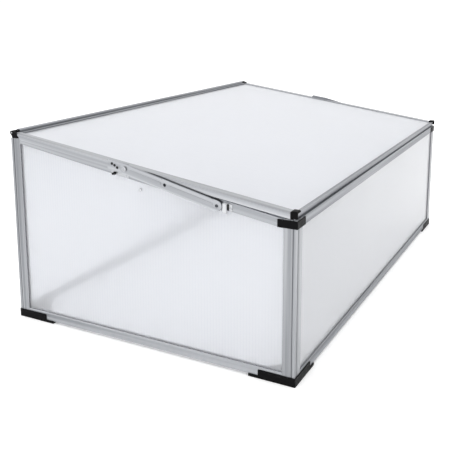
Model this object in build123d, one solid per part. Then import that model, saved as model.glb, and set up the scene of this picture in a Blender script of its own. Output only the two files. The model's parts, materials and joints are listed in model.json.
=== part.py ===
from build123d import *
import os
from math import atan2, cos, degrees, sin

# A cold frame: four aluminium-railed walls of twin-wall sheet with no floor, plastic corner
# pieces, and a sloping lid that hinges along its back edge and is propped by a stay on each side.
# Millimetres. X runs along the width, -Y is the low front, +Z is up. The origin is the middle
# of the footprint, on the ground. Right-hand (+X) pieces are drawn and left-hand ones mirrored.

# Overall size
WIDTH = 1000.0
DEPTH = 600.0
HALF_X = WIDTH / 2
HALF_Y = DEPTH / 2

# Walls
INSET = 1.5                    # rails and posts sit this far inside the corner pieces' outer faces
FACE_X = HALF_X - INSET
FACE_Y = HALF_Y - INSET
RAIL_T = 9.0                   # depth of a rail or post leg, from its outer face inwards
SKIN = 1.4                     # extrusion wall
BOTTOM_RAIL_H = 16.0
TOP_RAIL_H = 15.0
SLOT_DEPTH = 7.1               # how far the sheet slot reaches into a rail
POST_LEG = 23.0
GROOVE_AT = 5.3
GROOVE_W = 1.5
CORE_TO = 4.6                  # far side of the post's corner chamber
FRONT_TOP = 285.0
BACK_TOP = 366.5
SIDE_TOP_AT_FRONT = 280.5      # height of the sloping side rail's top edge above the front face
SIDE_SLOPE = 0.158
SIDE_ANGLE = atan2(SIDE_SLOPE, 1.0)

# Twin-wall sheet
SHEET_T = 4.0
SHEET_SKIN = 0.5
SHEET_PITCH = 5.8
SHEET_GAP = 0.2                # play between the sheet and its slot
SHEET_MID = 4.6                # middle of the sheet, measured in from the rail's outer face

# Foot corner pieces
FOOT_FLOOR = 4.5
FOOT_SKIRT_H = 15.5
FOOT_SKIRT_LEG = 68.0
FOOT_TONGUE_LEG = 86.0
FOOT_INNER_T = 3.0
FOOT_INNER_H = 18.0
FOOT_WEB_REACH = 87.0          # the web's long edge: distances from the two outer faces add up to this
FOOT_WEB_Z = (9.0, 12.0)

# Upper front corner bands
BAND_BOTTOM = 270.3
BAND_TOP = 283.8
BAND_LEG = 35.0

# Lid, drawn flat with v = 0 and w = 0 on the hinge axis, then tilted about it
HINGE_Y = 295.0
HINGE_Z = 376.6
LID_FRONT_Z = 294.7
LID_ANGLE = atan2(HINGE_Z - LID_FRONT_Z, HINGE_Y + HALF_Y)
LID_RUN = (HINGE_Y + HALF_Y) / cos(LID_ANGLE)
LID_SKIN = 1.5
LID_SIDE_OUT = 500.5
LID_FLANGE_W = 18.5
LID_SKIRT_H = 10.0
LID_SLOT = (-5.9, -1.5)        # lowest and highest w of the lid's sheet slot
LID_LIP_BOTTOM = -7.3
LID_WEB_X = (485.8, 487.0)
LID_BACK_V = -5.0
LID_BACK_W = 16.0
LID_BACK_TOP_W = 9.3
LID_KEY_ROOM = 6.0             # width of the back rail's key chamber and its two webs
BEAD_R = 5.0                   # bead along the back rail, on the hinge axis
BEAD_BORE = 3.4
LID_FRONT_LIP = 5.0
LID_FACE_BACK = 4.0            # the front rail stands this far back from the cap's face
LID_FACE_BOTTOM = -9.9         # the front rail's face ends just above the wall

# Hinges
BARREL_R = 4.0
PIN_R = 1.5
PIN_FIT = 0.05
EAR_OUT = (496.6, 500.0)
KNUCKLE = (487.9, 496.3)
EAR_IN = (484.0, 487.6)
SADDLE_TOP = BACK_TOP + 2.0
SADDLE_LEG = 16.5

# Lid front caps
CAP_BACK_Y = -287.1
CAP_IN_X = 486.5
CAP_WEB_Y = -289.8
CAP_Z = (287.5, 299.5)

# Stays and their brackets
PIVOT_Y = 27.4
PIVOT_Z = 334.4
STAY_DROP = 13.1               # degrees below level, stored
STAY_HALF_W = 9.5
STAY_T = 1.6
STAY_X = 502.3
STAY_HOLES = (85.6, 189.5)
STAY_TIP = 199.0
PEG_Y = 52.0
PEG_Z = 323.4
PEG_R = 2.2
HOLE_R = 3.0
RIVET_R = 2.5
BRACKET_T = 1.5
SCREW_R = 1.5
SCREW_HEAD = (2.5, 0.4)        # radius and height of a screw head

# Fittings on the side walls
PLATE_T = 0.9
PEG_PLATE_Y = (21.5, 59.5)
PEG_RIVET = (29.2, 322.0)
CLIP_Y = (-184.0, -168.5)
NOSE_W = 7.0
STUD_Y = 0.0
STUD_Z = 297.9
STUD_R = 1.6
DRILL_X = (480.0, 510.0)       # reach of a drill through the right-hand fittings


def block(x, y, z):
    """A box between two limits on each axis."""
    size = (x[1] - x[0], y[1] - y[0], z[1] - z[0])
    middle = ((x[0] + x[1]) / 2, (y[0] + y[1]) / 2, (z[0] + z[1]) / 2)
    return Pos(*middle) * Box(*size)


def rect(a, b):
    """A flat rectangle between two limits on each sketch axis."""
    return Pos((a[0] + a[1]) / 2, (b[0] + b[1]) / 2) * Rectangle(a[1] - a[0], b[1] - b[0])


def rod_x(radius, x, y, z):
    """A round rod along X between two limits."""
    middle = (x[0] + x[1]) / 2
    return Pos(middle, y, z) * Rot(0, 90, 0) * Cylinder(radius, x[1] - x[0])


def mirror_x(shape):
    return mirror(shape, about=Plane.YZ)


def mirror_y(shape):
    return mirror(shape, about=Plane.XZ)


def side_top(y):
    """Height of the sloping side rail's top edge."""
    return SIDE_TOP_AT_FRONT + (y + FACE_Y) * SIDE_SLOPE


# ---- aluminium extrusions -------------------------------------------------------------

def slot_cut(mouth):
    """The sheet slot whose mouth is at height mouth: a wide pocket with two beads."""
    half = SHEET_T / 2 + SHEET_GAP
    pocket = rect((SKIN, RAIL_T - SKIN), (mouth - SLOT_DEPTH, mouth - SKIN))
    return pocket + rect((SHEET_MID - half, SHEET_MID + half), (mouth - SKIN, mouth))


def rail_section(height):
    """Section of a wall rail: outer face on the left, sheet slot at the top, chamber below."""
    section = rect((0, RAIL_T), (0, height)) - slot_cut(height)
    chamber_top = height - SLOT_DEPTH - SKIN
    return section - rect((SKIN, RAIL_T - SKIN), (SKIN, chamber_top))


def wall_rail(length, middle, inward, slot_way, height):
    """A rail of the given length, centred on middle, at its outer edge away from the slot."""
    inward, slot_way = Vector(*inward), Vector(*slot_way)
    along = inward.cross(slot_way)
    start = Vector(*middle) - along * (length / 2)
    plane = Plane(origin=start, x_dir=inward, z_dir=along)
    return extrude(plane * rail_section(height), amount=length)


def post_section():
    """Corner post: two legs from the origin corner, each with a sheet slot and a face groove."""
    cuts = slot_cut(POST_LEG)
    cuts += rect((0, SKIN), (GROOVE_AT, GROOVE_AT + GROOVE_W))
    cuts += rect((SKIN, RAIL_T - SKIN), (RAIL_T + SKIN, POST_LEG - SLOT_DEPTH - SKIN))
    diagonal = Plane((0, 0, 0), x_dir=(1, 1, 0), z_dir=(1, -1, 0))
    legs = rect((0, POST_LEG), (0, RAIL_T)) + rect((0, RAIL_T), (0, POST_LEG))
    core = rect((SKIN, CORE_TO), (SKIN, CORE_TO))
    return legs - cuts - mirror(cuts, about=diagonal) - core


def post(top):
    """The post of the right back corner, standing on the foot's floor."""
    corner = Plane(origin=(FACE_X, FACE_Y, FOOT_FLOOR), x_dir=(-1, 0, 0), z_dir=(0, 0, 1))
    return extrude(corner * post_section(), amount=top - FOOT_FLOOR)


def sloping_rail():
    """The top rail of the right side wall, cut plumb where it meets the posts."""
    along = Vector(0, cos(SIDE_ANGLE), sin(SIDE_ANGLE))
    down = Vector(0, sin(SIDE_ANGLE), -cos(SIDE_ANGLE))
    long = DEPTH * 1.2
    middle = Vector(FACE_X, 0, side_top(0))
    plane = Plane(origin=middle + along * (long / 2), x_dir=(-1, 0, 0), z_dir=along * -1)
    rail = extrude(plane * rail_section(TOP_RAIL_H), amount=long)
    reach = FACE_Y - POST_LEG
    return rail & block((0, HALF_X), (-reach, reach), (0, 2 * HINGE_Z))


# ---- twin-wall sheet ------------------------------------------------------------------

def sheet_section(width):
    """End view of the sheet: two skins joined by ribs, centred on the origin."""
    count = int((width - SHEET_SKIN) // SHEET_PITCH)
    section = Rectangle(width, SHEET_T)
    channel = Rectangle(SHEET_PITCH - SHEET_SKIN, SHEET_T - 2 * SHEET_SKIN)
    first = -(count - 1) / 2 * SHEET_PITCH
    return section - [Pos(first + i * SHEET_PITCH, 0) * channel for i in range(count)]


def wall_sheet_x(y_face, bottom, top):
    """A front or back wall sheet, its channels upright."""
    width = 2 * (FACE_X - POST_LEG + SLOT_DEPTH - SHEET_GAP)
    section = sheet_section(width)
    y = y_face - SHEET_MID if y_face > 0 else y_face + SHEET_MID
    return Pos(0, y, bottom) * extrude(section, amount=top - bottom)


def wall_sheet_side(bottom):
    """The right side wall's sheet, cut to the sloping rail."""
    width = 2 * (FACE_Y - POST_LEG + SLOT_DEPTH - SHEET_GAP)
    tall = extrude(sheet_section(width), amount=BACK_TOP)
    tall = Pos(FACE_X - SHEET_MID, 0, bottom) * Rot(0, 0, 90) * tall
    drop = (TOP_RAIL_H - SLOT_DEPTH + SHEET_GAP) / cos(SIDE_ANGLE)
    wedge = Plane.YZ * make_face(Polyline(
        (-HALF_Y, 0),
        (HALF_Y, 0),
        (HALF_Y, side_top(HALF_Y) - drop),
        (-HALF_Y, side_top(-HALF_Y) - drop),
        close=True,
    ))
    return tall & extrude(wedge, amount=HALF_X)


# ---- plastic corner pieces of the walls -----------------------------------------------

def corner_l(outer, leg, thick, radius=0.0):
    """An L in plan whose outer corner stands outer inside the overall corner."""
    x1 = HALF_X - outer
    y1 = HALF_Y - outer
    plan = rect((HALF_X - leg, x1), (y1 - thick, y1)) + rect((x1 - thick, x1), (HALF_Y - leg, y1))
    if radius:
        tip = plan.vertices().sort_by(lambda v: v.X + v.Y)[-1]
        plan = fillet(tip, radius)
    return plan


def raise_plan(plan, bottom, top):
    return Pos(0, 0, bottom) * extrude(plan, amount=top - bottom)


def foot_web():
    """Triangular plate across the inside of the right back foot."""
    near = INSET + RAIL_T + FOOT_INNER_T / 2
    far = FOOT_WEB_REACH - near
    plan = make_face(Polyline(
        (HALF_X - near, HALF_Y - near),
        (HALF_X - far, HALF_Y - near),
        (HALF_X - near, HALF_Y - far),
        close=True,
    ))
    return raise_plan(plan, *FOOT_WEB_Z)


def foot():
    """Trough under the right back corner: floor with long tongues, two skirts and a web."""
    rounding = 1.6
    under_wall = INSET + RAIL_T + FOOT_INNER_T
    floor = raise_plan(corner_l(0, FOOT_TONGUE_LEG, under_wall, rounding), 0, FOOT_FLOOR)
    outer = raise_plan(corner_l(0, FOOT_SKIRT_LEG, INSET, rounding), FOOT_FLOOR, FOOT_SKIRT_H)
    rim = outer.faces().sort_by(Axis.Z)[-1].outer_wire().edges()
    outer = chamfer(rim, 0.5)
    inner = raise_plan(corner_l(INSET + RAIL_T, FOOT_SKIRT_LEG, FOOT_INNER_T), FOOT_FLOOR, FOOT_INNER_H)
    return floor + outer + inner + foot_web()


def corner_band():
    """Band round the top of the right back corner, with ribs that slide in the post's grooves."""
    band = raise_plan(corner_l(0, BAND_LEG, INSET, 1.6), BAND_BOTTOM, BAND_TOP)
    band = chamfer(band.faces().sort_by(Axis.Z)[-1].outer_wire().edges(), 0.5)
    rib_w, rib_d = GROOVE_W - 0.3, SKIN - 0.2
    at = INSET + GROOVE_AT + GROOVE_W / 2
    z = (BAND_BOTTOM + 0.8, BAND_TOP - 0.8)
    x = HALF_X - at
    y = HALF_Y - at
    band += block((x - rib_w / 2, x + rib_w / 2), (FACE_Y - rib_d, FACE_Y), z)
    band += block((FACE_X - rib_d, FACE_X), (y - rib_w / 2, y + rib_w / 2), z)
    return band


def hinge_saddle():
    """Plastic saddle plugged into the right back post, with two ears for the hinge pin."""
    lip = 1.5
    plan = corner_l(INSET + lip, SADDLE_LEG, RAIL_T - 2 * lip)
    saddle = raise_plan(plan, BACK_TOP, SADDLE_TOP)
    plug = (SKIN + 0.2, CORE_TO - 0.2)
    saddle += block(
        (FACE_X - plug[1], FACE_X - plug[0]),
        (FACE_Y - plug[1], FACE_Y - plug[0]),
        (BACK_TOP - 25, BACK_TOP),
    )
    front, back = HINGE_Y - 13.2, HINGE_Y - 2.2
    outer_base = block((FACE_X - 6, EAR_OUT[1]), (front, back), (BACK_TOP, SADDLE_TOP))
    outer = Plane.YZ * make_face(Polyline(
        (front, BACK_TOP),
        (front, HINGE_Z - 2.7),
        (front + 3.5, HINGE_Z + 0.8),
        (HINGE_Y, HINGE_Z + BARREL_R),
        (HINGE_Y + BARREL_R, HINGE_Z),
        (back, BACK_TOP),
        close=True,
    ))
    inner = Plane.YZ * rect((HINGE_Y - 3.6, HINGE_Y + BARREL_R), (BACK_TOP, HINGE_Z))
    saddle += outer_base
    saddle += Pos(EAR_OUT[0], 0, 0) * extrude(outer, amount=EAR_OUT[1] - EAR_OUT[0])
    saddle += rod_x(BARREL_R, EAR_OUT, HINGE_Y, HINGE_Z)
    saddle += Pos(EAR_IN[0], 0, 0) * extrude(inner, amount=EAR_IN[1] - EAR_IN[0])
    saddle += rod_x(BARREL_R, EAR_IN, HINGE_Y, HINGE_Z)
    return saddle - rod_x(PIN_R + 0.02, DRILL_X, HINGE_Y, HINGE_Z)


def hinge_pin():
    return rod_x(PIN_R, (EAR_IN[0] - 0.8, EAR_OUT[1]), HINGE_Y, HINGE_Z)


# ---- lid --------------------------------------------------------------------------------

def tilt(shape):
    """Puts a lid piece drawn flat on the hinge axis into its closed place."""
    return Pos(0, HINGE_Y, HINGE_Z) * Rot(degrees(LID_ANGLE), 0, 0) * shape


def lid_flat(y, z):
    """The flat lid coordinates (v, w) of a point in the side view."""
    dy = y - HINGE_Y
    dz = z - HINGE_Z
    return (
        dy * cos(LID_ANGLE) + dz * sin(LID_ANGLE),
        -dy * sin(LID_ANGLE) + dz * cos(LID_ANGLE),
    )


LID_FRONT_V = -LID_RUN + LID_FACE_BACK
LID_BACK_FRONT_V = LID_BACK_V - LID_BACK_W


def lid_side_rail():
    """Right side rail of the lid: flange, outer skirt and sheet slot, open below to nest the wall."""
    inner = LID_SIDE_OUT - LID_FLANGE_W
    full_v = (-LID_RUN, LID_BACK_FRONT_V - 0.5)
    skirt_v = (-LID_RUN, LID_BACK_V - 9.4)
    flange = block((inner, LID_SIDE_OUT), skirt_v, (-LID_SKIN, 0))
    flange += block((inner, EAR_OUT[0] - 0.4), (skirt_v[1], LID_BACK_V), (-LID_SKIN, 0))
    skirt = block((LID_SIDE_OUT - LID_SKIN, LID_SIDE_OUT), skirt_v, (-LID_SKIRT_H, 0))
    clip = LID_SKIRT_H - LID_SKIN
    bevel = Plane.YZ * make_face(Polyline(
        (skirt_v[1], -LID_SKIN),
        (skirt_v[1] + 1, -LID_SKIRT_H - 1),
        (skirt_v[1] - clip, -LID_SKIRT_H - 1),
        (skirt_v[1] - clip, -LID_SKIRT_H),
        close=True,
    ))
    skirt -= Pos(inner, 0, 0) * extrude(bevel, amount=LID_FLANGE_W + 5)
    web = block(LID_WEB_X, full_v, (LID_LIP_BOTTOM, -LID_SKIN))
    lip = block((inner, LID_WEB_X[1]), full_v, (LID_LIP_BOTTOM, LID_SLOT[0]))
    return flange + skirt + web + lip


def lid_front_rail():
    """Front rail of the lid: narrow top lip, outer face and sheet slot."""
    half = FACE_X - 0.5
    x = (-half, half)
    face = block(x, (LID_FRONT_V, LID_FRONT_V + LID_SKIN), (LID_FACE_BOTTOM, 0))
    top = block(x, (LID_FRONT_V, LID_FRONT_V + LID_FRONT_LIP), (-LID_SKIN, 0))
    lip = block(x, (LID_FRONT_V, LID_FRONT_V + LID_FRONT_LIP), (LID_LIP_BOTTOM, LID_SLOT[0]))
    return face + top + lip


def lid_back_rail():
    """Back rail of the lid: flange with a raised inner lip, hollow bead, key chamber, sheet slot."""
    half = LID_SIDE_OUT - LID_FLANGE_W - 0.1
    x = (-half, half)
    back, front = LID_BACK_V, LID_BACK_FRONT_V
    edge = back - LID_BACK_TOP_W
    web = back - LID_KEY_ROOM
    rail = block(x, (edge, back), (-LID_SKIN, 0))
    rail += block(x, (edge, edge + 2.5), (0, 0.9))
    rail += block(x, (back - LID_SKIN, back), (LID_LIP_BOTTOM, 0))
    rail += block(x, (web, web + LID_SKIN), (LID_LIP_BOTTOM, 0))
    rail += block(x, (front, back), (LID_LIP_BOTTOM, LID_SLOT[0]))
    rail += block(x, (back - LID_SKIN, -BEAD_BORE), (-BEAD_BORE, 0))
    return rail + rod_x(BEAD_R, x, 0, 0) - rod_x(BEAD_BORE, x, 0, 0)


def lid_sheet():
    """The lid's sheet, its channels running down the slope."""
    width = 2 * (LID_WEB_X[0] - 0.3)
    back = LID_BACK_V - LID_KEY_ROOM - 0.3
    front = LID_FRONT_V + LID_SKIN + 0.3
    sheet = extrude(sheet_section(width), amount=back - front)
    middle = (LID_SLOT[0] + LID_SLOT[1]) / 2
    return Pos(0, back, middle) * Rot(90, 0, 0) * sheet


def lid_hinge_key():
    """Corner key of the lid at the right hinge: knuckle, block under the flange, tongue."""
    top, bottom = -LID_SKIN - 0.1, -4.6
    beside_sheet = LID_WEB_X[0] + 0.2
    pad = block((beside_sheet, KNUCKLE[1]), (LID_BACK_V - 13.5, LID_BACK_V - 0.2), (bottom, top))
    behind_sheet = (LID_BACK_V - LID_KEY_ROOM - 0.1, LID_BACK_V - 0.2)
    pad += block((EAR_IN[0] - 0.1, beside_sheet), behind_sheet, (bottom, top))
    neck = block(KNUCKLE, (LID_BACK_V - 1, 0), (-BARREL_R, top))
    knuckle = rod_x(BARREL_R, KNUCKLE, 0, 0)
    tongue_v = (LID_BACK_V - LID_KEY_ROOM + LID_SKIN + 0.2, LID_BACK_V - LID_SKIN - 0.2)
    tongue = block((455, EAR_IN[0]), tongue_v, (bottom, top))
    key = pad + neck + knuckle + tongue
    return key - rod_x(PIN_R + PIN_FIT, DRILL_X, 0, 0)


def lid_cap():
    """Cap of the lid's right front corner: side plate, rounded hook over the top, resting foot."""
    body = block((CAP_IN_X, HALF_X), (-HALF_Y, CAP_BACK_Y), CAP_Z)
    top = body.faces().sort_by(Axis.Z)[-1]
    soft = [e for e in top.edges() if e.center().X > CAP_IN_X + 1]
    body = fillet(soft, 2.6)
    rail_room = block((CAP_IN_X - 1, FACE_X), (-HALF_Y - 1, CAP_WEB_Y), (CAP_Z[0] - 1, 296.5))
    body -= rail_room
    return body + block((489, 496), (CAP_WEB_Y, CAP_BACK_Y), (FRONT_TOP + 0.3, CAP_Z[0]))


# ---- stays ------------------------------------------------------------------------------

PIVOT_V, PIVOT_W = lid_flat(PIVOT_Y, PIVOT_Z)
BRACKET_X = (LID_SIDE_OUT, LID_SIDE_OUT + BRACKET_T)
SCREWS = [(PIVOT_V + along, PIVOT_W + up) for along, up in ((29, 2.6), (23, 0.8), (17, -2.2))]


def place_stay(shape):
    """Turns a stay drawn along -Y from the pivot into its stored place."""
    return Pos(0, PIVOT_Y, PIVOT_Z) * Rot(STAY_DROP, 0, 0) * shape


def stay_bar():
    """Flat bar with rounded ends, a raised middle bead and two peg holes."""
    w = STAY_HALF_W
    x = (STAY_X, STAY_X + STAY_T)
    bar = block(x, (-(STAY_TIP - w), 0), (-w, w))
    bar += rod_x(w, x, 0, 0) + rod_x(w, x, -(STAY_TIP - w), 0)
    bead = (x[1], x[1] + 0.6)
    for start, end in ((12, STAY_HOLES[0] - 8), (STAY_HOLES[0] + 8, STAY_HOLES[1] - 8)):
        bar += block(bead, (-end, -start), (-1.8, 1.8))
        bar += block(bead, (-end, -start), (w - 2.4, w - 0.4))
    for at in STAY_HOLES:
        bar -= rod_x(HOLE_R, DRILL_X, -at, 0)
    return place_stay(bar - rod_x(RIVET_R + 0.06, DRILL_X, 0, 0))


def lid_bracket():
    """Plate on the lid's side rail that carries the stay's pivot."""
    w = STAY_HALF_W
    v = (PIVOT_V - w, PIVOT_V + 38)
    plate = block(BRACKET_X, v, (PIVOT_W - w, PIVOT_W + w))
    plate = fillet(plate.edges().filter_by(Axis.X), 4.0)
    return plate - bracket_drills()


def bracket_drills():
    """Holes through the bracket and the lid rail behind it."""
    x = (LID_SIDE_OUT - LID_SKIN - 1, BRACKET_X[1] + 1)
    holes = rod_x(RIVET_R + 0.02, x, PIVOT_V, PIVOT_W)
    for v, w in SCREWS:
        holes += rod_x(SCREW_R, x, v, w)
    return holes


def stay_rivet():
    """Shouldered rivet that the stay turns on."""
    inside = LID_SIDE_OUT - LID_SKIN
    face = STAY_X + STAY_T
    rivet = rod_x(RIVET_R, (inside, face + 1.0), PIVOT_V, PIVOT_W)
    head = rod_x(4.6, (face + 0.9, face + 2.6), PIVOT_V, PIVOT_W)
    head = fillet(head.edges().sort_by(Axis.X)[-1], 0.9)
    dimple = rod_x(1.9, (face + 1.9, face + 3.0), PIVOT_V, PIVOT_W)
    return rivet + head - dimple


def bracket_screws():
    """Three pan-head screws through the bracket into the lid rail."""
    screws = []
    radius, tall = SCREW_HEAD
    face = BRACKET_X[1]
    for v, w in SCREWS:
        shank = rod_x(SCREW_R - 0.1, (LID_SIDE_OUT - LID_SKIN, face), v, w)
        head = rod_x(radius, (face, face + tall), v, w)
        screws.append(shank + head)
    return screws


# ---- fittings on the side walls -----------------------------------------------------------

PLATE_X = (FACE_X, FACE_X + PLATE_T)


def along_rail(y, low, high):
    """A plate outline following the sloping rail, between two heights above its bottom edge."""
    base = side_top(y[0]) - TOP_RAIL_H / cos(SIDE_ANGLE)
    rise = (y[1] - y[0]) * SIDE_SLOPE
    corners = [(y[0], low), (y[1], low + rise), (y[1], high + rise), (y[0], high)]
    outline = Polyline([(along, base + up) for along, up in corners], close=True)
    return Plane.YZ * make_face(outline)


def peg_plate():
    """Riveted plate on the right side rail that carries the peg."""
    outline = along_rail(PEG_PLATE_Y, 0.5, 9.5)
    plate = Pos(PLATE_X[0], 0, 0) * extrude(outline, amount=PLATE_X[1] - PLATE_X[0])
    plate = fillet(plate.edges().filter_by(Axis.X), 3.0)
    return plate - rail_drills()


def rail_drills():
    """Holes in the side rail's outer lip and the plates on it."""
    x = (FACE_X - SKIN - 0.2, FACE_X + 4)
    return (
        rod_x(PEG_R + 0.02, x, PEG_Y, PEG_Z)
        + rod_x(SCREW_R, x, *PEG_RIVET)
        + rod_x(SCREW_R, x, *clip_rivet_at())
    )


def clip_rivet_at():
    """Where the clip's rivet goes, as (y, z)."""
    y = CLIP_Y[0] + 2.6
    return y, side_top(y) - 10.6


def peg():
    """Peg that the stay's holes drop over."""
    shaft = rod_x(PEG_R, (FACE_X - SKIN, STAY_X + STAY_T + 2.5), PEG_Y, PEG_Z)
    collar = rod_x(2.9, (PLATE_X[1], PLATE_X[1] + 1.2), PEG_Y, PEG_Z)
    shaft = chamfer(shaft.edges().sort_by(Axis.X)[-1], 0.6)
    return shaft + collar


def plate_rivets():
    """The rivets of the peg plate and of the stay clip."""
    rivets = []
    for y, z in (PEG_RIVET, clip_rivet_at()):
        shank = rod_x(SCREW_R - 0.1, (FACE_X - SKIN, PLATE_X[1]), y, z)
        rivets.append(shank + rod_x(2.4, (PLATE_X[1], PLATE_X[1] + 0.9), y, z))
    return rivets


def stay_clip():
    """Sprung tab that keeps the stored stay's tip: a riveted foot and a standing nose."""
    outline = along_rail(CLIP_Y, 0.6, 12.0)
    foot_plate = Pos(PLATE_X[0], 0, 0) * extrude(outline, amount=PLATE_X[1] - PLATE_X[0])
    nose_y = (CLIP_Y[1] - NOSE_W, CLIP_Y[1])
    nose = along_rail(nose_y, -4.5, 11.5)
    nose = Pos(PLATE_X[1] - 0.1, 0, 0) * extrude(nose, amount=6.4)
    nose = fillet(nose.faces().sort_by(Axis.X)[-1].edges(), 1.6)
    return foot_plate + nose - rail_drills()


def clip_bumper():
    """Dark rubber bead beside the clip's nose."""
    nose = CLIP_Y[1] - NOSE_W
    outline = along_rail((nose - 2.7, nose - 0.1), 1.5, 11.5)
    bead = Pos(PLATE_X[1], 0, 0) * extrude(outline, amount=3.0)
    return fillet(bead.faces().sort_by(Axis.X)[-1].edges(), 0.8)


def sheet_stud():
    """Small two-headed stud through the side sheet."""
    outer = FACE_X - SHEET_MID + SHEET_T / 2
    inner = outer - SHEET_T
    stud = rod_x(STUD_R, (inner - 0.1, outer + 0.1), STUD_Y, STUD_Z)
    head = rod_x(3.2, (outer, outer + 1.4), STUD_Y, STUD_Z)
    head = fillet(head.edges().sort_by(Axis.X)[-1], 0.7)
    return stud + head + rod_x(2.6, (inner - 1.0, inner), STUD_Y, STUD_Z)


# ---- assembly -----------------------------------------------------------------------------

def wall_nodes():
    """Rails, posts and sheets of the four walls."""
    nodes = {}
    across = 2 * (FACE_X - POST_LEG)
    deep = 2 * (FACE_Y - POST_LEG)
    sheet_bottom = FOOT_FLOOR + BOTTOM_RAIL_H - SLOT_DEPTH + SHEET_GAP
    sheet_drop = TOP_RAIL_H - SLOT_DEPTH + SHEET_GAP
    up = (0, 0, 1)
    down = (0, 0, -1)
    for name, y, inward, top in (("front", -FACE_Y, 1, FRONT_TOP), ("back", FACE_Y, -1, BACK_TOP)):
        way = (0, inward, 0)
        nodes[f"bottom_rail_{name}"] = wall_rail(across, (0, y, FOOT_FLOOR), way, up, BOTTOM_RAIL_H)
        nodes[f"top_rail_{name}"] = wall_rail(across, (0, y, top), way, down, TOP_RAIL_H)
        nodes[f"sheet_{name}"] = wall_sheet_x(y, sheet_bottom, top - sheet_drop)
    bottom_side = wall_rail(deep, (FACE_X, 0, FOOT_FLOOR), (-1, 0, 0), up, BOTTOM_RAIL_H)
    sheet_side = wall_sheet_side(sheet_bottom)
    sheet_side -= rod_x(STUD_R + 0.3, (FACE_X - RAIL_T, FACE_X), STUD_Y, STUD_Z)
    add_pair(nodes, "bottom_rail", bottom_side)
    add_pair(nodes, "top_rail", sloping_rail() - rail_drills())
    add_pair(nodes, "sheet", sheet_side)
    add_pair(nodes, "post_back", post(BACK_TOP))
    add_pair(nodes, "post_front", mirror_y(post(FRONT_TOP)))
    return nodes


def corner_nodes():
    """Plastic corner pieces and hinge pins."""
    nodes = {}
    add_pair(nodes, "foot_back", foot())
    add_pair(nodes, "foot_front", mirror_y(foot()))
    add_pair(nodes, "corner_band", mirror_y(corner_band()))
    add_pair(nodes, "hinge_saddle", hinge_saddle())
    add_pair(nodes, "hinge_pin", hinge_pin())
    return nodes


def lid_nodes():
    """The lid's rails, sheet and corner pieces."""
    nodes = {
        "lid_rail_front": tilt(lid_front_rail()),
        "lid_rail_back": tilt(lid_back_rail()),
        "lid_sheet": tilt(lid_sheet()),
    }
    behind_cap = block((0, HALF_X), (CAP_BACK_Y, HALF_Y), (0, 2 * HINGE_Z))
    add_pair(nodes, "lid_rail", tilt(lid_side_rail() - bracket_drills()) & behind_cap)
    add_pair(nodes, "lid_hinge_key", tilt(lid_hinge_key()))
    add_pair(nodes, "lid_cap", lid_cap())
    return nodes


def stay_nodes():
    """The stays with their brackets, pegs, clips and fasteners."""
    nodes = {}
    add_pair(nodes, "stay_bar", stay_bar())
    add_pair(nodes, "lid_bracket", tilt(lid_bracket()))
    add_pair(nodes, "stay_rivet", tilt(stay_rivet()))
    add_pair(nodes, "bracket_screws", [tilt(s) for s in bracket_screws()])
    add_pair(nodes, "peg_plate", peg_plate())
    add_pair(nodes, "stay_peg", peg())
    add_pair(nodes, "plate_rivets", plate_rivets())
    add_pair(nodes, "stay_clip", stay_clip())
    add_pair(nodes, "clip_bumper", clip_bumper())
    add_pair(nodes, "sheet_stud", sheet_stud())
    return nodes


def add_pair(nodes, name, shape):
    """Adds a right-hand piece, or a list of them, and its mirror image."""
    pieces = shape if isinstance(shape, list) else [shape]
    nodes[f"{name}_right"] = pieces
    nodes[f"{name}_left"] = [mirror_x(p) for p in pieces]


def write(nodes):
    """Writes one STEP file per node."""
    os.makedirs("parts", exist_ok=True)
    for name, shape in nodes.items():
        pieces = shape if isinstance(shape, list) else [shape]
        solids = [solid for piece in pieces for solid in piece.solids()]
        whole = Compound(children=solids) if len(solids) > 1 else solids[0]
        export_step(whole, f"parts/{name}.step")


write(wall_nodes() | corner_nodes() | lid_nodes() | stay_nodes())
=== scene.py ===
import json
import math

import bpy
from mathutils import Euler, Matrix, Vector


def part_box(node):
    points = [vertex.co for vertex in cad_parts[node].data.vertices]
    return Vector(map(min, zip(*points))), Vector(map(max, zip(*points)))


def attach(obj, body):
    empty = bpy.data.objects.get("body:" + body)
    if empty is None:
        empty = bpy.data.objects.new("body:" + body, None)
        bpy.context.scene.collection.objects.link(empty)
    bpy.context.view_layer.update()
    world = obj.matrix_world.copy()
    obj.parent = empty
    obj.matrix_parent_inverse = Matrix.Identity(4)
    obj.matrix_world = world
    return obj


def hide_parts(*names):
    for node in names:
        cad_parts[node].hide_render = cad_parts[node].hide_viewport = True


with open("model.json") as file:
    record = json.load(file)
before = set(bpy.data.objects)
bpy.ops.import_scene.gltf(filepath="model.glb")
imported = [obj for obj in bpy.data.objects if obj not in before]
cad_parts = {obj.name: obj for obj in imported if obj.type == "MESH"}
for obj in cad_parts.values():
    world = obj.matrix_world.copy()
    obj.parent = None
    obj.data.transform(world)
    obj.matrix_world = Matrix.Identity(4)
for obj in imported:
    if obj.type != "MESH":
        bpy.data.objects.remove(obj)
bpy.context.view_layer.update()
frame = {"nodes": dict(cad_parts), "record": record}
nodes = frame["nodes"]
slots = {part["node"]: part["material_slot"] for part in frame["record"]["subparts"]}

STAY_WIDTH = 0.019        # a stay bar, whose ends are round
FLUTE_PITCH = 0.0058      # from rib to rib of the twin-wall sheet
RIB_PLAY = 0.0003         # between a rib's edges and the slab's faces
BUMP_DEPTH = 0.0004       # how deep every fine bump is
FLOOR_REACH = 14.0        # from the middle to each side
FLOOR_DROP = 0.0004       # keeps the floor clear of the feet's undersides
SOLVE_STEPS = 8           # rounds in which a slope's angle settles


# ---- shader helpers ------------------------------------------------------------------------

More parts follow.
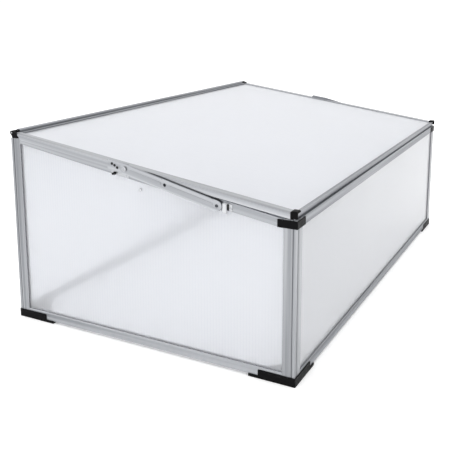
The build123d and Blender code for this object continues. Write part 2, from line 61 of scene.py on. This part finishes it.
def new_material(name):
    """An empty node material: returns it with its tree and output node."""
    mat = bpy.data.materials.new(name)
    mat.use_nodes = True
    tree = mat.node_tree
    tree.nodes.clear()
    out = tree.nodes.new("ShaderNodeOutputMaterial")
    return mat, tree, out


def add(tree, kind, inputs=(), **props):
    """A node with the given properties and socket values or links."""
    node = tree.nodes.new(kind)
    for key, value in props.items():
        setattr(node, key, value)
    for key, value in dict(inputs).items():
        if isinstance(value, bpy.types.NodeSocket):
            tree.links.new(value, node.inputs[key])
        else:
            node.inputs[key].default_value = value
    return node


def noise(tree, scale, detail=2.0, stretch=(1, 1, 1)):
    """Noise on object coordinates, stretched per axis."""
    coords = add(tree, "ShaderNodeTexCoord")
    mapping = add(tree, "ShaderNodeMapping", {"Vector": coords.outputs["Object"], "Scale": stretch})
    return add(tree, "ShaderNodeTexNoise", {
        "Vector": mapping.outputs["Vector"], "Scale": scale, "Detail": detail,
    }).outputs["Fac"]


def remap(tree, value, low, high):
    """Takes the middle of a noise's range, 0.3 to 0.7, to the range from low to high."""
    return add(tree, "ShaderNodeMapRange", {
        "Value": value, "From Min": 0.3, "From Max": 0.7, "To Min": low, "To Max": high,
    }).outputs["Result"]


def fine_bump(tree, height, strength):
    """A normal socket for a fine bump."""
    return add(tree, "ShaderNodeBump", {
        "Height": height, "Strength": strength, "Distance": BUMP_DEPTH,
    }).outputs["Normal"]


def blend_colors(tree, share, first, second):
    """A color socket that goes from the first color to the second as share goes from 0 to 1."""
    return add(tree, "ShaderNodeMix", {
        0: share, 6: (*first, 1), 7: (*second, 1),
    }, data_type="RGBA").outputs[2]


# ---- opaque materials ----------------------------------------------------------------------

def plain_material(name, color, rough, grain, bump, metallic=0.0, gloss=0.5):
    """Opaque material with noise in its roughness and a fine bump."""
    mat, tree, out = new_material(name)
    wear = noise(tree, scale=grain / 12, detail=3.0)
    shader = add(tree, "ShaderNodeBsdfPrincipled", {
        "Base Color": (*color, 1),
        "Metallic": metallic,
        "Specular IOR Level": gloss,
        "Roughness": remap(tree, wear, *rough),
        "Normal": fine_bump(tree, noise(tree, scale=grain, detail=3.0), bump),
    })
    tree.links.new(shader.outputs["BSDF"], out.inputs["Surface"])
    return mat


def drawn_noise(tree, direction, scale):
    """Noise pulled out along the drawing direction of an extrusion."""
    pull = 0.985
    coords = add(tree, "ShaderNodeTexCoord").outputs["Object"]
    run = add(tree, "ShaderNodeVectorMath", {0: coords, 1: direction}, operation="DOT_PRODUCT")
    taken = add(tree, "ShaderNodeMath", {0: run.outputs["Value"], 1: pull}, operation="MULTIPLY")
    part = add(tree, "ShaderNodeVectorMath", {0: direction, "Scale": taken.outputs[0]},
               operation="SCALE")
    squeezed = add(tree, "ShaderNodeVectorMath", {0: coords, 1: part.outputs["Vector"]},
                   operation="SUBTRACT")
    return add(tree, "ShaderNodeTexNoise", {
        "Vector": squeezed.outputs["Vector"], "Scale": scale, "Detail": 2.0,
    }).outputs["Fac"]


def rail_material(name, along, dark, light):
    """Extruded aluminium whose drawing lines run along the given direction; dark and light carry the painted
    shade of the bar's axis.
    """
    mat, tree, out = new_material(name)
    direction = add(tree, "ShaderNodeCombineXYZ", dict(enumerate(along))).outputs[0]
    lines = drawn_noise(tree, direction, scale=900)
    bands = drawn_noise(tree, direction, scale=130)
    tangent = add(tree, "ShaderNodeVectorTransform", {"Vector": direction},
                  vector_type="VECTOR", convert_from="OBJECT", convert_to="WORLD")
    shader = add(tree, "ShaderNodeBsdfPrincipled", {
        "Base Color": blend_colors(tree, remap(tree, bands, 0.0, 1.0), dark, light),
        "Metallic": 1.0,
        "Roughness": remap(tree, lines, 0.34, 0.42),
        "Anisotropic": 0.6,
        "Tangent": tangent.outputs[0],
        "Normal": fine_bump(tree, lines, strength=0.08),
    })
    tree.links.new(shader.outputs["BSDF"], out.inputs["Surface"])
    return mat


# ---- sheet materials -----------------------------------------------------------------------

def scatter_shader(tree, reflect, white, tinted):
    """Light that a milky skin sends back or passes on in all directions."""
    diffuse = add(tree, "ShaderNodeBsdfDiffuse", {"Color": white})
    through = add(tree, "ShaderNodeBsdfTranslucent", {"Color": tinted})
    mix = {0: reflect, 1: through.outputs[0], 2: diffuse.outputs[0]}
    return add(tree, "ShaderNodeMixShader", mix).outputs[0]


def flute_lines(tree):
    """1 where a rib joins the skin and 0 between ribs; U counts the flutes."""
    uv = add(tree, "ShaderNodeUVMap", uv_map="flutes")
    split = add(tree, "ShaderNodeSeparateXYZ", {0: uv.outputs[0]})
    near = add(tree, "ShaderNodeMath", {0: split.outputs["X"], 1: 0.5}, operation="PINGPONG")
    return add(tree, "ShaderNodeMapRange", {
        "Value": near.outputs[0], "From Min": 0.05, "From Max": 0.2, "To Min": 1.0, "To Max": 0.0,
    }).outputs["Result"]


def skin_color(tree, ribs, white):
    """The skin's color, with painted shade in patches along the lines where the ribs join it."""
    # painted shade: the colour the skin takes where a rib joins it
    painted_rib_shade = (0.87, 0.885, 0.92)
    patches = remap(tree, noise(tree, scale=4.0, detail=1.0), 0.0, 1.0)
    painted_shade_share = add(tree, "ShaderNodeMath", {0: ribs, 1: patches}, operation="MULTIPLY")
    return blend_colors(tree, painted_shade_share.outputs[0], white, painted_rib_shade)


def clear_share(tree, lines, ribs, clear_range):
    """How much of the light a skin lets through blurred: less where a rib joins it."""
    held_back = 0.15
    share = remap(tree, lines, *clear_range)
    kept = add(tree, "ShaderNodeMath", {0: ribs, 1: -held_back, 2: 1.0},
               operation="MULTIPLY_ADD")
    return add(tree, "ShaderNodeMath", {0: share, 1: kept.outputs[0]},
               operation="MULTIPLY").outputs[0]


def skin_material(name, streak, milk, white, clear_range, blur):
    """Outer skins of the twin-wall sheet: part scatters, part lets blurred light through."""
    mat, tree, out = new_material(name)
    lines = noise(tree, scale=260, stretch=streak)
    ribs = flute_lines(tree)
    # the skin's colour, with painted shade along the rib joins
    tint = skin_color(tree, ribs, white)
    milky = scatter_shader(tree, milk, tint, tint)
    clear = add(tree, "ShaderNodeBsdfRefraction", {
        "Color": (0.985, 0.99, 1.0, 1), "Roughness": blur, "IOR": 1.18,
        "Normal": fine_bump(tree, lines, strength=0.06),
    })
    share = clear_share(tree, lines, ribs, clear_range)
    body = add(tree, "ShaderNodeMixShader", {0: share, 1: milky, 2: clear.outputs[0]})
    gloss = add(tree, "ShaderNodeBsdfGlossy", {"Color": (1, 1, 1, 1), "Roughness": 0.2})
    fresnel = add(tree, "ShaderNodeFresnel", {"IOR": 1.35})
    coated = {0: fresnel.outputs[0], 1: body.outputs[0], 2: gloss.outputs[0]}
    final = add(tree, "ShaderNodeMixShader", coated)
    tree.links.new(final.outputs[0], out.inputs["Surface"])
    return mat


def rib_material(name):
    """The thin ribs between the skins."""
    mat, tree, out = new_material(name)
    cloud = noise(tree, scale=40)
    milky = scatter_shader(tree, reflect=0.4, white=(0.93, 0.94, 0.96, 1),
                           tinted=(0.95, 0.96, 0.98, 1))
    clear = add(tree, "ShaderNodeBsdfTransparent", {"Color": (1, 1, 1, 1)})
    mix = {0: remap(tree, cloud, 0.56, 0.7), 1: milky, 2: clear.outputs[0]}
    final = add(tree, "ShaderNodeMixShader", mix)
    tree.links.new(final.outputs[0], out.inputs["Surface"])
    return mat


# ---- the finishes --------------------------------------------------------------------------

MATERIALS = {
    "twin_wall_sheet": skin_material(
        "sheet_skin_upright", streak=(1, 1, 0.02), milk=0.5, white=(0.975, 0.982, 1.0),
        clear_range=(0.61, 0.67), blur=0.28),
    "black_plastic": plain_material(
        "black_plastic", color=(0.003, 0.003, 0.0035), rough=(0.4, 0.55), grain=1400, bump=0.25, gloss=0.07),
    "fitting_steel": plain_material(
        "fitting_steel", color=(0.44, 0.45, 0.47), rough=(0.24, 0.34), grain=1200, bump=0.12, metallic=1.0),
    "black_steel": plain_material(
        "black_steel", color=(0.012, 0.012, 0.013), rough=(0.3, 0.42), grain=1300, bump=0.15, gloss=0.25),
    "grey_plastic": plain_material(
        "grey_plastic", color=(0.6, 0.61, 0.63), rough=(0.35, 0.45), grain=1200, bump=0.15),
    "black_rubber": plain_material(
        "black_rubber", color=(0.01, 0.01, 0.01), rough=(0.6, 0.7), grain=1500, bump=0.25, gloss=0.2),
}
# painted shade: the lid is the same twin-wall sheet as the walls, its white painted darker (0.885 against
# 0.975) against the overhead light on its top
LID_SKIN_PAINTED_SHADE = skin_material(
    "sheet_skin_sloping_painted_shade", streak=(1, 0.02, 1), milk=0.6, white=(0.885, 0.90, 0.94),
    clear_range=(0.3, 0.45), blur=0.4)
RIB = rib_material("sheet_rib")

# dark and light of the aluminium, for bars that run along each axis: the axes differ by painted shade and
# light, x darkest and y lightest; the range within one axis is random tone
ALUMINIUM_PAINTED_SHADE_BY_AXIS = {
    "x": ((0.19, 0.198, 0.215), (0.35, 0.36, 0.38)),
    "y": ((0.28, 0.29, 0.31), (0.49, 0.502, 0.525)),
    "z": ((0.23, 0.238, 0.254), (0.44, 0.45, 0.47)),
}


def square_cut_angle(run, rise, depth):
    """Angle of a sloping bar with square-cut ends whose box measures run by rise."""
    angle = 0.0
    for _ in range(SOLVE_STEPS):
        angle = math.atan2(rise - depth * math.cos(angle), run - depth * math.sin(angle))
    return angle


def upright_cut_slope(run, rise, depth):
    """Slope of a sloping bar with upright ends whose box measures run by rise."""
    slope = 0.0
    for _ in range(SOLVE_STEPS):
        slope = (rise - depth * math.hypot(1, slope)) / run
    return slope


def top_rail_depth():
    """How deep a top rail is across its length: the front one is level, so its box gives it."""
    lo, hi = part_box("top_rail_front")
    return hi.z - lo.z


def lid_angle():
    """Angle at which the lid climbs to the back."""
    back, front = (sum(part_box(f"lid_rail_{end}"), Vector()) / 2 for end in ("back", "front"))
    return math.atan2(back.z - front.z, back.y - front.y)


def lean_of(name):
    """Angle at which a bar that runs along Y climbs to the back."""
    lo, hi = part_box(name)
    size = hi - lo
    if name.startswith("stay_bar"):
        return math.atan2(size.z - STAY_WIDTH, size.y - STAY_WIDTH)
    if name.startswith("lid_"):
        return lid_angle()
    if name.startswith("top_rail"):
        # its ends are upright, which this leaves out: near enough for the drawing lines
        return square_cut_angle(size.y, size.z, top_rail_depth())
    return 0.0


def run_of(name):
    """The axis along which a node is longest, and the direction it really runs in."""
    lo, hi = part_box(name)
    size = hi - lo
    axis = max(range(3), key=lambda i: size[i])
    if axis != 1:
        return "xyz"[axis], (float(axis == 0), 0.0, float(axis == 2))
    lean = lean_of(name)
    return "y", (0.0, round(math.cos(lean), 3), round(math.sin(lean), 3))


def rail_finish(name, made):
    """The aluminium drawn along a bar's own direction, made once for each direction, in the painted shade of
    the bar's axis.
    """
    axis, along = run_of(name)
    if along not in made:
        made[along] = rail_material(f"aluminium_{len(made)}", along, *ALUMINIUM_PAINTED_SHADE_BY_AXIS[axis])
    return made[along]


def dress_nodes():
    """Gives every CAD node a material of its slot."""
    made = {}
    for name, node in nodes.items():
        slot = slots[name]
        material = rail_finish(name, made) if slot == "rail_aluminium" else MATERIALS[slot]
        node.data.materials.clear()
        node.data.materials.append(material)


# ---- twin-wall sheets ----------------------------------------------------------------------

def sheet_piece(name, verts, faces, skin, indices, flutes):
    """A mesh of skins and ribs; indices give face materials and flutes vertex UVs."""
    mesh = bpy.data.meshes.new(name)
    mesh.from_pydata(verts, [], faces)
    for material in (skin, RIB):
        mesh.materials.append(material)
    for polygon, index in zip(mesh.polygons, indices):
        polygon.material_index = index
    layer = mesh.uv_layers.new(name="flutes")
    for loop in mesh.loops:
        layer.data[loop.index].uv = flutes[loop.vertex_index]
    mesh.update()
    piece = bpy.data.objects.new(name, mesh)
    bpy.context.scene.collection.objects.link(piece)
    return piece


def slab(outline, thick, place):
    """Vertices and faces of a slab over a convex outline (u, v), w from 0 to thick."""
    count = len(outline)
    verts = [place(u, v, w) for w in (0.0, thick) for u, v in outline]
    faces = [tuple(reversed(range(count))), tuple(range(count, 2 * count))]
    for i in range(count):
        j = (i + 1) % count
        faces.append((i, j, count + j, count + i))
    return verts, faces


def twin_wall(name, node, body, outline, thick, place, skin):
    """Two skins with ribs between them, in place of a CAD sheet.

    The outline's corners are bottom left, bottom right, top right and top left in (u, v). The
    ribs run along v, and place takes (u, v, w) to the sheet's own spot in the object.
    """
    (left, bottom), (right, _), (_, right_top), (_, left_top) = outline
    count = int((right - left) / FLUTE_PITCH)
    first = (left + right) / 2 - (count - 1) / 2 * FLUTE_PITCH
    verts, faces = slab(outline, thick, place)
    indices = [0] * len(faces)
    flutes = [((u - first) / FLUTE_PITCH, v) for u, v in outline] * 2
    for i in range(count):
        u = first + i * FLUTE_PITCH
        top = left_top + (right_top - left_top) * (u - left) / (right - left)
        ends = (bottom + RIB_PLAY, top - RIB_PLAY)
        faces.append(tuple(range(len(verts), len(verts) + 4)))
        indices.append(1)
        verts += [place(u, v, RIB_PLAY) for v in ends]
        verts += [place(u, v, thick - RIB_PLAY) for v in reversed(ends)]
        flutes += [(i, v) for v in (bottom, top, top, bottom)]
    piece = sheet_piece(name, verts, faces, skin, indices, flutes)
    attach(piece, body)
    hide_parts(node)


def long_wall_sheets(thick):
    """The front and back sheets."""
    for side in ("front", "back"):
        lo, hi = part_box(f"sheet_{side}")
        outline = [(lo.x, lo.z), (hi.x, lo.z), (hi.x, hi.z), (lo.x, hi.z)]
        twin_wall(f"twin_wall_{side}", f"sheet_{side}", "frame", outline, thick,
                  lambda u, v, w, y=lo.y: (u, y + thick - w, v), MATERIALS["twin_wall_sheet"])


def side_wall_sheets(thick):
    """The left and right sheets, whose tops slope as the rails over them do."""
    rail_lo, rail_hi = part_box("top_rail_left")
    slope = upright_cut_slope(rail_hi.y - rail_lo.y, rail_hi.z - rail_lo.z, top_rail_depth())
    for side in ("left", "right"):
        lo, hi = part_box(f"sheet_{side}")
        low_top = hi.z - slope * (hi.y - lo.y)
        outline = [(lo.y, lo.z), (hi.y, lo.z), (hi.y, hi.z), (lo.y, low_top)]
        twin_wall(f"twin_wall_{side}", f"sheet_{side}", "frame", outline, thick,
                  lambda u, v, w, x=lo.x: (x + w, u, v), MATERIALS["twin_wall_sheet"])


def lid_sheet(thick):
    """The lid's sheet, its ribs running down the slope."""
    lo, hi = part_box("lid_sheet")
    tilt = square_cut_angle(hi.y - lo.y, hi.z - lo.z, thick)
    cos, sin = math.cos(tilt), math.sin(tilt)
    length = (hi.y - lo.y - thick * sin) / cos
    start_y = lo.y + thick * sin

    def place(u, v, w):
        return (u, start_y + v * cos - w * sin, lo.z + v * sin + w * cos)

    outline = [(lo.x, 0.0), (hi.x, 0.0), (hi.x, length), (lo.x, length)]
    twin_wall("twin_wall_lid", "lid_sheet", "lid", outline, thick, place, LID_SKIN_PAINTED_SHADE)


def all_sheets():
    """The five sheets, as thick as the front one."""
    lo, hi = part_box("sheet_front")
    thick = hi.y - lo.y
    long_wall_sheets(thick)
    side_wall_sheets(thick)
    lid_sheet(thick)


# ---- stage ---------------------------------------------------------------------------------

def floor_material():
    """Nearly white, with a faint glow of its own."""
    mat, tree, out = new_material("studio_floor")
    tint = remap(tree, noise(tree, scale=3.0), 0.93, 0.95)
    color = add(tree, "ShaderNodeCombineColor", {0: tint, 1: tint, 2: tint})
    diffuse = add(tree, "ShaderNodeBsdfDiffuse", {"Color": color.outputs[0]})
    glow = add(tree, "ShaderNodeEmission", {"Color": (1, 1, 1, 1), "Strength": 0.2})
    lit = add(tree, "ShaderNodeAddShader", {0: diffuse.outputs[0], 1: glow.outputs[0]})
    tree.links.new(lit.outputs[0], out.inputs["Surface"])
    return mat


def floor_plane():
    """Flat pale floor, far larger than the object."""
    mesh = bpy.data.meshes.new("studio_floor")
    signs = ((-1, -1), (1, -1), (1, 1), (-1, 1))
    corners = [(x * FLOOR_REACH, y * FLOOR_REACH, -FLOOR_DROP) for x, y in signs]
    mesh.from_pydata(corners, [], [(0, 1, 2, 3)])
    mesh.materials.append(floor_material())
    floor = bpy.data.objects.new("studio_floor", mesh)
    bpy.context.scene.collection.objects.link(floor)


def area_light(name, place, aim, size, power):
    """A rectangular lamp that faces the point aim."""
    lamp = bpy.data.lights.new(name, "AREA")
    lamp.shape = "RECTANGLE"
    lamp.size, lamp.size_y = size
    lamp.energy = power
    holder = bpy.data.objects.new(name, lamp)
    holder.location = place
    holder.rotation_euler = (Vector(aim) - Vector(place)).to_track_quat("-Z", "Y").to_euler()
    bpy.context.scene.collection.objects.link(holder)


def sky_strength(tree):
    """Brighter overhead than at the horizon, and to one side; even where the camera sees it."""
    brighter_side = (-0.10, 0.16, 0.0)
    seen_level = 1.05
    toward = add(tree, "ShaderNodeTexCoord").outputs["Generated"]
    split = add(tree, "ShaderNodeSeparateXYZ", {0: toward})
    height = add(tree, "ShaderNodeMapRange", {
        "Value": split.outputs["Z"], "From Min": 0.0, "From Max": 0.9, "To Min": 1.0, "To Max": 1.12,
    }).outputs[0]
    side = add(tree, "ShaderNodeVectorMath", {0: toward, 1: brighter_side},
               operation="DOT_PRODUCT")
    level = add(tree, "ShaderNodeMath", {0: side.outputs["Value"], 1: height, 2: height},
                operation="MULTIPLY_ADD")
    seen = add(tree, "ShaderNodeLightPath").outputs["Is Camera Ray"]
    return add(tree, "ShaderNodeMix", {0: seen, 2: level.outputs[0], 3: seen_level},
               data_type="FLOAT").outputs[0]


def studio_light():
    """White surroundings and one large soft lamp."""
    world = bpy.data.worlds.new("studio")
    bpy.context.scene.world = world
    world.use_nodes = True
    tree = world.node_tree
    tree.nodes.clear()
    sky = add(tree, "ShaderNodeBackground", {"Color": (1, 1, 1, 1), "Strength": sky_strength(tree)})
    out = add(tree, "ShaderNodeOutputWorld")
    tree.links.new(sky.outputs[0], out.inputs["Surface"])
    area_light("overhead", place=(0.2, 0.2, 3.2), aim=(0, 0, 0), size=(4.5, 4.5), power=56)


def photo_camera():
    """A camera off the front left corner, above the lid and looking a little down."""
    data = bpy.data.cameras.new("camera")
    data.lens = 55.90
    data.sensor_width = 36.0
    data.shift_y = -0.20
    data.clip_start = 0.05
    camera = bpy.data.objects.new("camera", data)
    camera.location = (-1.4924, -0.7012, 0.6195)
    yaw, pitch, roll = (math.radians(angle) for angle in (27.849, 10.63, -0.141))
    look = Euler((math.pi / 2 - pitch, 0, yaw - math.pi / 2), "XYZ").to_matrix()
    spin = Euler((0, 0, roll), "XYZ").to_matrix()
    camera.rotation_euler = (look @ spin).to_euler()
    bpy.context.scene.collection.objects.link(camera)
    bpy.context.scene.camera = camera


bpy.context.scene.view_settings.view_transform = "Standard"
dress_nodes()
all_sheets()
floor_plane()
studio_light()
photo_camera()
